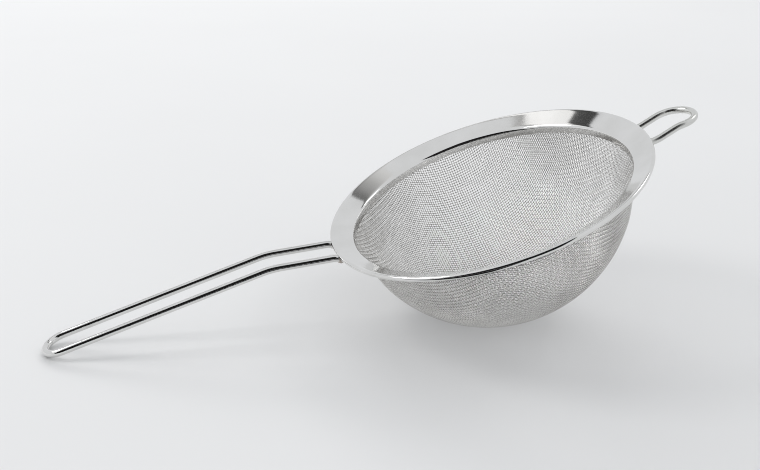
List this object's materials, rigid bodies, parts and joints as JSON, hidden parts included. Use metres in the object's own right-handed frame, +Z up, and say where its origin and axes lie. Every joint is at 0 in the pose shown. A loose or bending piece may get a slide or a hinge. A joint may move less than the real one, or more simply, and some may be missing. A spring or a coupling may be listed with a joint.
{
  "type": "wire-mesh strainer",
  "caption": "Round stainless wire-mesh strainer: a deep woven bowl clamped in a dished pressed rim with a rolled edge, a bent-wire loop handle, and a small arched rest loop opposite.",
  "frame": {"origin": "middle of the strainer's footprint on the surface it stands on, standing on its bowl and the end of its handle", "axes": "+Z up; the handle points along -X and the rest loop along +X; +Y is the strainer's left seen from the handle"},
  "size_m": [0.3183, 0.16, 0.1015],
  "materials": {
    "polished_sheet": "mirror-polished stainless steel sheet",
    "polished_wire": "polished stainless steel wire",
    "woven_wire": "bright drawn stainless steel wire, plain weave",
    "weld": "cleaned weld, slightly dull"
  },
  "bodies": {
    "root": {"rim": "polished_sheet", "clamp_ring": "polished_sheet", "mesh_basket": "woven_wire", "handle_wire": "polished_wire", "rest_loop": "polished_wire", "handle_weld_left": "weld", "handle_weld_right": "weld", "loop_weld_left": "weld", "loop_weld_right": "weld"}
  },
  "joints": []
}
